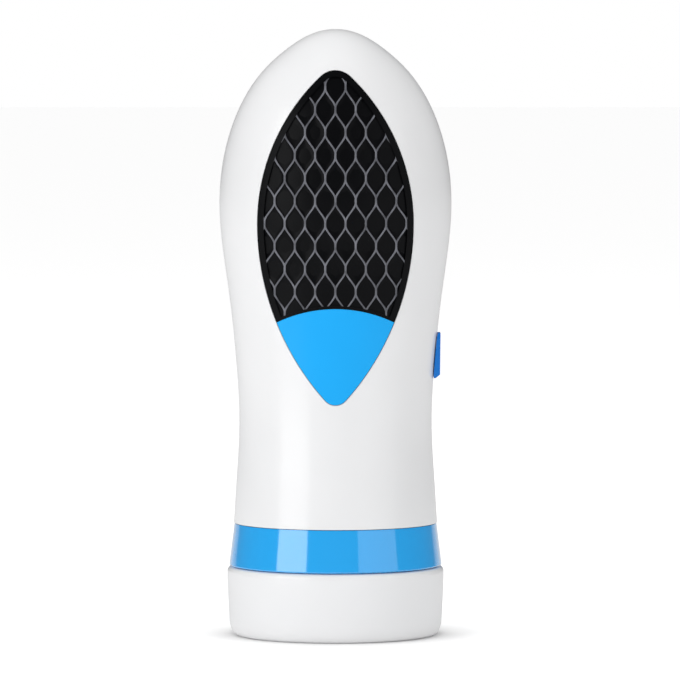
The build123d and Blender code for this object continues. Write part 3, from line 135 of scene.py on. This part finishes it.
def moulded(name, colour, roughness, grain_mm=0.5, depth_mm=0.02):
    """Matte moulded plastic with a spark-eroded grain."""
    tree = Tree(name)
    grain = tree.noise(grain_mm, detail=4)
    drift = tree.noise(12, detail=2)
    tree.set(
        Base_Color=tree.mix(tree.spread(drift, 0, 1), shade(colour, 0.88), shade(colour, 1.1)),
        Roughness=tree.spread(grain, roughness * 0.85, roughness * 1.15),
        Normal=tree.bump(grain, depth_mm, 0.5),
    )
    return tree.material


def metal(name, colour, roughness, stretch=(1, 1, 0.06), line_mm=0.25):
    """Metal with fine working marks along one direction and a slight tarnish."""
    tree = Tree(name)
    lines = tree.noise(line_mm, detail=4, stretch=stretch)
    tarnish = tree.noise(5, detail=4)
    tree.set(
        Base_Color=tree.mix(tree.spread(tarnish, 0, 1), shade(colour, 0.78), shade(colour, 1.05)),
        Metallic=1.0,
        Roughness=tree.spread(lines, roughness * 0.7, roughness * 1.4),
        Normal=tree.bump(lines, 0.01, 0.4),
    )
    return tree.material


def fibre(name, colour, size_mm):
    """Felt or foam: a soft surface broken into small cells, with painted shade in their pits."""
    tree = Tree(name)
    pit_depth_and_shade = tree.cells(size_mm)
    fuzz = tree.noise(size_mm * 0.6, detail=6)
    tree.set(
        # darker towards the cells' sunken pits: painted shade in the recesses
        Base_Color=tree.mix(tree.spread(pit_depth_and_shade, 0, 1, 0.1, 0.7), shade(colour, 0.6), shade(colour, 1.15)),
        Roughness=tree.spread(fuzz, 0.85, 1.0),
        Normal=tree.bump(pit_depth_and_shade, size_mm * 0.4, 0.8, below=tree.bump(fuzz, 0.05)),
        Sheen_Weight=0.25,
    )
    return tree.material


def grit_material():
    """Silicon carbide grit: dark grains in a resin bed, with painted glints on their facets."""
    tree = Tree("abrasive_grit")
    grains = tree.cells(0.32)
    glint_and_relief = tree.noise(0.2, detail=5)
    painted_glints = tree.spread(glint_and_relief, 0, 1, 0.45, 0.62)
    tree.set(
        # the pale spots in the colour are painted glints on the grains' facets
        Base_Color=tree.mix(painted_glints, (0.035, 0.034, 0.036), (0.2, 0.19, 0.19)),
        Roughness=tree.spread(grains, 0.35, 0.8, 0.0, 0.6),
        Normal=tree.bump(grains, 0.12, 0.9, below=tree.bump(glint_and_relief, 0.05)),
    )
    return tree.material


SHOULDER_SHARES = (0.74, 0.745)       # of a cell's height, where its dark body turns coppery


def cell_sleeve():
    """Foil of an AA cell: a dark body with a coppery shoulder."""
    tree = Tree("cell_sleeve")
    low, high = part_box("battery_left")
    split = tree.nodes.new("ShaderNodeSeparateXYZ")
    tree.links.new(tree.place, split.inputs["Vector"])
    start, end = (low.z + share * (high.z - low.z) for share in SHOULDER_SHARES)
    shoulder = tree.spread(split.outputs["Z"], 0, 1, start, end)
    wear = tree.noise(3, detail=5)
    tree.set(
        Base_Color=tree.mix(shoulder, (0.02, 0.021, 0.024), (0.55, 0.25, 0.09)),
        Metallic=0.55,
        Roughness=tree.spread(wear, 0.22, 0.42),
        Normal=tree.bump(wear, 0.01, 0.3),
    )
    return tree.material


def lead_material(name, colour):
    """Soft wire insulation, slightly dusty."""
    tree = Tree(name)
    dust = tree.noise(0.7, detail=5)
    tree.set(
        Base_Color=tree.mix(tree.spread(dust, 0, 1), shade(colour, 0.75), shade(colour, 1.25)),
        Roughness=tree.spread(dust, 0.4, 0.6),
        Normal=tree.bump(dust, 0.01, 0.5),
    )
    return tree.material


WHITE = (0.87, 0.872, 0.88)
BLUE = (0.011, 0.42, 0.95)
DEEP_BLUE = (0.006, 0.2, 0.72)
BLACK = (0.0028, 0.003, 0.0038)
STEEL = (0.58, 0.58, 0.59)
BRASS = (0.72, 0.53, 0.24)

finishes = {
    "white_gloss": gloss_plastic("white_gloss", WHITE, 0.3, coat=0.35),
    "blue_gloss": gloss_plastic("blue_gloss", BLUE, 0.12, coat=1.0, coat_ior=1.85),
    "black_grip": gloss_plastic("black_grip", BLACK, 0.34, ior=1.18),
    "screw_steel": metal("screw_steel", STEEL, 0.3),
    "natural_plastic": moulded("natural_plastic", (0.68, 0.67, 0.62), 0.5),
    "cell_sleeve": cell_sleeve(),
    "contact_steel": metal("contact_steel", (0.66, 0.65, 0.62), 0.25),
    "bronze": metal("bronze", (0.5, 0.31, 0.15), 0.5, stretch=(1, 1, 1)),
    "felt": fibre("felt", (0.55, 0.53, 0.49), 0.35),
    "foam": fibre("foam", (0.03, 0.03, 0.032), 0.5),
    "motor_steel": metal("motor_steel", (0.56, 0.56, 0.57), 0.32, stretch=(1, 1, 0.2)),
    "black_plastic": moulded("black_plastic", (0.02, 0.02, 0.022), 0.45),
    "terminal_brass": metal("terminal_brass", BRASS, 0.3),
    "ferrite": moulded("ferrite", (0.05, 0.05, 0.052), 0.7, grain_mm=0.3, depth_mm=0.03),
    "shaft_steel": metal("shaft_steel", (0.62, 0.62, 0.64), 0.18, stretch=(0.1, 0.1, 1)),
    "lamination": metal("lamination", (0.3, 0.3, 0.31), 0.4, stretch=(0.05, 0.05, 1), line_mm=0.4),
    "copper": metal("copper", (0.7, 0.27, 0.11), 0.3, stretch=(1, 1, 0.03), line_mm=0.3),
    "pinion_brass": metal("pinion_brass", BRASS, 0.25),
    "gear_plastic": moulded("gear_plastic", (0.78, 0.75, 0.66), 0.4),
    "carrier_plastic": moulded("carrier_plastic", (0.74, 0.74, 0.76), 0.4),
    "abrasive": grit_material(),
    "switch_steel": metal("switch_steel", (0.6, 0.6, 0.59), 0.3),
    "lead_red": lead_material("lead_red", (0.45, 0.012, 0.012)),
    "lead_black": lead_material("lead_black", (0.012, 0.012, 0.013)),
    "blue_satin": gloss_plastic("blue_satin", BLUE, 0.3, ior=1.25),
    "blue_deep": gloss_plastic("blue_deep", DEEP_BLUE, 0.25, ior=1.35),
}
OWN_FINISH = {"grip_tip": "blue_satin", "switch_button": "blue_deep"}   # not the blue of their slot

for part in frame["record"]["subparts"]:
    mesh = nodes[part["node"]].data
    mesh.materials.clear()
    mesh.materials.append(finishes[OWN_FINISH.get(part["node"], part["material_slot"])])


# ---------------------------------------------------------------- grip lattice
# Raised wavy lines over the recessed field of the black pad. Neighbouring lines bulge
# towards each other and share a short upright strut, so the field falls into pointed cells.
CELL_WIDTH = 4.77 * MM
CELL_PERIOD = 10.74 * MM
STRUT_Z = 126.1 * MM          # height of a strut on the centre line
WAVE_PEAK = 1.08              # of the wave before it is cut off at 1, which leaves straight struts
RIDGE_HALF = 0.4 * MM
RIDGE_HEIGHT = 0.27 * MM
RIDGE_FULLNESS = 0.8          # power of the ridge's cosine profile, fuller below 1
RIDGE_STEPS = (0, 0.2, 0.4, 0.6, 0.8, 1.0)     # shares of RIDGE_HALF that the mesh has points at
RIDGE_HIGHLIGHT_SHARE = 0.62              # share of RIDGE_HALF that gets the painted highlight
ROW_STEP = 0.24 * MM
PAST_PAD = 1 * MM             # how far the rows start and end beyond the pad
UNDER_BORDER = 0.45 * MM      # how far the skin runs on under the pad's border
SKIN_LIFT = 0.03 * MM         # height of the lattice's floor above the CAD field
SKIN_T = 0.12 * MM
FLOOR_BELOW_CASING = 0.15 * MM
FLOOR_MISS = 0.12 * MM        # a surface this far in front of the floor is the pad's border
FIELD_MARGIN_TOP = 2.2 * MM   # from the pad's top and the tip's top to heights surely in the field
FIELD_MARGIN_LOW = 1.5 * MM
FIELD_MIDDLE = 0.55           # height of the field's middle as a share of the pad's
PROFILE_STEPS = 70
PROFILE_DEGREE = 3
END_SHARE = 0.02              # keeps a vertex off the ellipse's end, where the floor turns edge on
MERGE_SCALE = 1e7             # points that agree to a tenth of a micron are one vertex
SPARE_LINES = 2               # lattice lines past the pad's widest place
RAY_START = 0.1               # well outside the casing
BESIDE_SEAM = -0.5 * MM       # side rays meet the front shell here and not the seam at y = 0


def tree_of(node):
    """A search tree over a CAD node's mesh, for casting rays at it."""
    mesh = nodes[node].data
    return BVHTree.FromPolygons([v.co for v in mesh.vertices], [p.vertices for p in mesh.polygons])


pad_tree = tree_of("grip_pad")
shell_tree = tree_of("front_shell")
pad_low, pad_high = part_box("grip_pad")
field_top = pad_high.z - FIELD_MARGIN_TOP
field_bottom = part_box("grip_tip")[1].z + FIELD_MARGIN_LOW


def pad_hit(x, z):
    """The first point of the pad that a ray along +Y meets."""
    return pad_tree.ray_cast(Vector((x, -RAY_START, z)), Vector((0, 1, 0)))[0]


def field_profile():
    """The field's floor as an ellipse at every height: its half widths and depths, read from the CAD."""
    heights = np.linspace(pad_low.z - PAST_PAD, pad_high.z + PAST_PAD, PROFILE_STEPS)
    wide, share = [], []
    for z in heights:
        side = shell_tree.ray_cast(Vector((RAY_START, BESIDE_SEAM, z)), Vector((-1, 0, 0)))[0]
        wide.append(side.x - FLOOR_BELOW_CASING)
        if field_bottom < z < field_top:
            share.append((z, -pad_hit(0, z).y / wide[-1]))
    curve = np.polyfit(*zip(*share), PROFILE_DEGREE)
    return heights, np.array(wide), np.array(wide) * np.polyval(curve, heights)


profile_z, profile_a, profile_b = field_profile()


def floor_ellipse(z):
    """Half width and half depth of the field's floor at a height."""
    return np.interp(z, profile_z, profile_a), np.interp(z, profile_z, profile_b)


def wave(z):
    """Sideways swing of a lattice line, from -1 to 1, flat where it runs along a strut."""
    swing = WAVE_PEAK * math.cos(2 * math.pi * (z - STRUT_Z) / CELL_PERIOD)
    return float(np.clip(swing, -1, 1))


def line_x(k, z):
    """x of lattice line k at a height."""
    return (k + 0.5) * CELL_WIDTH / 2 - (-1) ** k * CELL_WIDTH / 4 * wave(z)


def ridge(distance):
    """Height of the rounded ridge at a distance from its line."""
    t = min(1.0, distance / RIDGE_HALF)
    return RIDGE_HEIGHT * (0.5 + 0.5 * math.cos(math.pi * t)) ** RIDGE_FULLNESS


def in_field(x, z):
    """Whether a point, drawn in a little towards the middle, lies over the recessed field."""
    middle = Vector((0, (1 - FIELD_MIDDLE) * pad_low.z + FIELD_MIDDLE * pad_high.z))
    point = Vector((x, z))
    x, z = point + (middle - point).normalized() * UNDER_BORDER
    hit = pad_hit(x, z)
    if hit is None:
        return False
    a, b = floor_ellipse(z)
    floor = -b * math.sqrt(max(0.0, 1 - (x / a) ** 2))
    return hit.y > floor - FLOOR_MISS


def build_lattice():
    """The lattice as one skin: each column between two lines is a strip of quads."""
    ridge_steps = [RIDGE_HALF * share for share in RIDGE_STEPS]
    rows = np.arange(pad_low.z - PAST_PAD, pad_high.z + PAST_PAD, ROW_STEP)
    last = int(pad_high.x / CELL_WIDTH * 2) + SPARE_LINES
    vertices, faces, slots, index = [], [], [], {}

    def vertex(x, z, height):
        """The number of the vertex at x, z, made the first time it is asked for."""
        key = (round(x * MERGE_SCALE), round(z * MERGE_SCALE))
        if key not in index:
            a, b = floor_ellipse(z)
            y = -b * math.sqrt(max(END_SHARE, 1 - (x / a) ** 2))
            normal = Vector((x / a**2, y / b**2, 0)).normalized()
            index[key] = len(vertices)
            vertices.append(Vector((x, y, z)) + normal * (height + SKIN_LIFT))
        return index[key]

    def station(k, z, i):
        """Vertex i of the row at z in column k, counted from its left line."""
        left, right = line_x(k, z), line_x(k + 1, z)
        half = (right - left) / 2
        count = len(ridge_steps)
        if i < count:
            distance = min(ridge_steps[i], half)
            return vertex(left + distance, z, ridge(distance)), distance
        distance = min(ridge_steps[2 * count - 1 - i], half)
        return vertex(right - distance, z, ridge(distance)), distance

    for k in range(-last, last):
        for z0, z1 in zip(rows, rows[1:]):
            left, right = line_x(k, z0), line_x(k + 1, z0)
            if not any(in_field(x, z0) for x in ((left + right) / 2, left, right)):
                continue
            for i in range(2 * len(ridge_steps) - 1):
                places = ((z0, i), (z0, i + 1), (z1, i + 1), (z1, i))
                corners = [station(k, z, n) for z, n in places]
                face = list(dict.fromkeys(number for number, _ in corners))
                centre = sum((vertices[v] for v in face), Vector()) / len(face)
                if len(face) < 3 or not in_field(centre.x, centre.z):
                    continue
                faces.append(face)
                # faces near a ridge's crest take the second slot, whose paler colour is a painted
                # highlight
                slots.append(int(sum(distance for _, distance in corners) / 4 < RIDGE_HIGHLIGHT_SHARE * RIDGE_HALF))
    return vertices, faces, slots


def ridge_highlight_material():
    """Ridge tops: dark grey plastic with a painted highlight, paler in patches."""
    tree = Tree("grip_ridge_highlight")
    highlight_patches = tree.noise(2.5, detail=5)
    fine = tree.noise(0.25, detail=4)
    tree.set(
        # the paler grey on the ridge tops is a painted highlight, stronger in patches
        Base_Color=tree.mix(tree.spread(highlight_patches, 0, 1), (0.07, 0.072, 0.085), (0.19, 0.195, 0.225)),
        Roughness=tree.spread(fine, 0.3, 0.5),
        Normal=tree.bump(fine, 0.01, 0.4),
    )
    return tree.material


def add_lattice():
    """The lattice as a thin smooth skin on the casing, black with a painted highlight on the ridge tops.
    """
    vertices, faces, slots = build_lattice()
    mesh = bpy.data.meshes.new("grip_lattice")
    mesh.from_pydata([tuple(v) for v in vertices], [], faces)
    mesh.materials.append(finishes["black_grip"])
    mesh.materials.append(ridge_highlight_material())
    mesh.polygons.foreach_set("material_index", slots)
    mesh.shade_smooth()
    mesh.update()
    piece = bpy.data.objects.new("grip_lattice", mesh)
    bpy.context.scene.collection.objects.link(piece)
    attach(piece, "housing")
    thickness = piece.modifiers.new("thickness", "SOLIDIFY")
    thickness.thickness = SKIN_T
    thickness.offset = -1


add_lattice()


# ---------------------------------------------------------------- stage
FLOOR_SIZE = 16
FLOOR_COLOUR = (0.92, 0.92, 0.92)
FLOOR_GLOW = (0.0, 0.5)       # under the object's edge and in the open; the weaker glow near the edge is a painted contact shadow
SHADOW_REACH = 35 * MM
SHADOW_OPEN = (0.5, 0.92)     # open shares of the sky at which the glow starts and is full
LAMP_AIM = (0, 0, 75 * MM)
CAMERA_PLACE = (1.08 * MM, -1.5, 150 * MM)
CAMERA_AIM = (1.08 * MM, 0, 70.6 * MM)
CAMERA_LENS = 332


def stage_floor():
    """White studio floor that keeps the object's soft shadow and shows white to the camera. Its glow to
    the camera fades where the object hides the sky, a painted contact shadow laid over the real one.
    """
    bpy.ops.mesh.primitive_plane_add(size=FLOOR_SIZE, location=(0, 0, 0))
    floor = bpy.context.object
    floor.name = "studio_floor"
    tree = Tree("studio_floor")
    tree.set(Base_Color=(*FLOOR_COLOUR, 1), Roughness=0.6)
    path = tree.nodes.new("ShaderNodeLightPath")
    open_sky = tree.nodes.new("ShaderNodeAmbientOcclusion")
    open_sky.inputs["Distance"].default_value = SHADOW_REACH
    glow = tree.nodes.new("ShaderNodeMath")
    glow.operation = "MULTIPLY"
    tree.links.new(path.outputs["Is Camera Ray"], glow.inputs[0])
    # the glow fades where the object hides the sky: a painted contact shadow
    tree.links.new(tree.spread(open_sky.outputs["AO"], *FLOOR_GLOW, *SHADOW_OPEN), glow.inputs[1])
    tree.set(Emission_Color=(1, 1, 1, 1), Emission_Strength=glow.outputs[0])
    floor.data.materials.append(tree.material)


def world_light(ambient, mirrored):
    """Plain pale surroundings, white where the camera sees them and dimmer in reflections."""
    world = bpy.data.worlds.new("studio")
    bpy.context.scene.world = world
    world.use_nodes = True
    tree = world.node_tree
    back = tree.nodes["Background"]
    back.inputs["Color"].default_value = (1, 1, 1, 1)
    path = tree.nodes.new("ShaderNodeLightPath")
    strengths = {"Is Glossy Ray": mirrored, "Is Transmission Ray": 1.0, "Is Camera Ray": 1.0}
    level = None
    for ray, strength in strengths.items():
        choice = tree.nodes.new("ShaderNodeMix")
        choice.inputs["A"].default_value = ambient
        choice.inputs["B"].default_value = strength
        tree.links.new(path.outputs[ray], choice.inputs["Factor"])
        if level is not None:
            tree.links.new(level, choice.inputs["A"])
        level = choice.outputs["Result"]
    tree.links.new(level, back.inputs["Strength"])


def softbox(name, azimuth, elevation, distance, width, height, radiance, mirrored=True):
    """A rectangular lamp aimed at the object's middle. Azimuth 0 is in front, 90 is at +X.
    The camera doesn't see it, and glossy rays do where mirrored is set."""
    lamp = bpy.data.lights.new(name, "AREA")
    lamp.shape = "RECTANGLE"
    lamp.size, lamp.size_y = width, height
    lamp.energy = radiance * math.pi * width * height
    light = bpy.data.objects.new(name, lamp)
    turn, lift = math.radians(azimuth), math.radians(elevation)
    level = math.cos(lift)
    direction = Vector((math.sin(turn) * level, -math.cos(turn) * level, math.sin(lift)))
    light.location = Vector(LAMP_AIM) + direction * distance
    light.rotation_euler = (-direction).to_track_quat("-Z", "Y").to_euler()
    light.visible_camera = False
    light.visible_glossy = mirrored
    bpy.context.scene.collection.objects.link(light)


def camera():
    """Long lens a little above the object's crown, looking slightly down."""
    data = bpy.data.cameras.new("camera")
    data.sensor_width = 36
    data.lens = CAMERA_LENS
    data.clip_end = 50
    view = bpy.data.objects.new("camera", data)
    view.location = CAMERA_PLACE
    view.rotation_euler = (Vector(CAMERA_AIM) - view.location).to_track_quat("-Z", "Y").to_euler()
    bpy.context.scene.collection.objects.link(view)
    bpy.context.scene.camera = view


stage_floor()
world_light(ambient=0.61, mirrored=0.12)
softbox("left_softbox", azimuth=-49, elevation=8, distance=0.95, width=0.6, height=1.2, radiance=2.1)
softbox("right_softbox", azimuth=48, elevation=8, distance=0.95, width=0.8, height=1.2, radiance=0.6)
softbox("front_fill", azimuth=0, elevation=8, distance=1.2, width=0.9, height=0.9,
        radiance=0.4, mirrored=False)
softbox("top_fill", azimuth=180, elevation=78, distance=1.2, width=0.9, height=0.9,
        radiance=1.6, mirrored=False)
camera()
bpy.context.scene.view_settings.view_transform = "Standard"
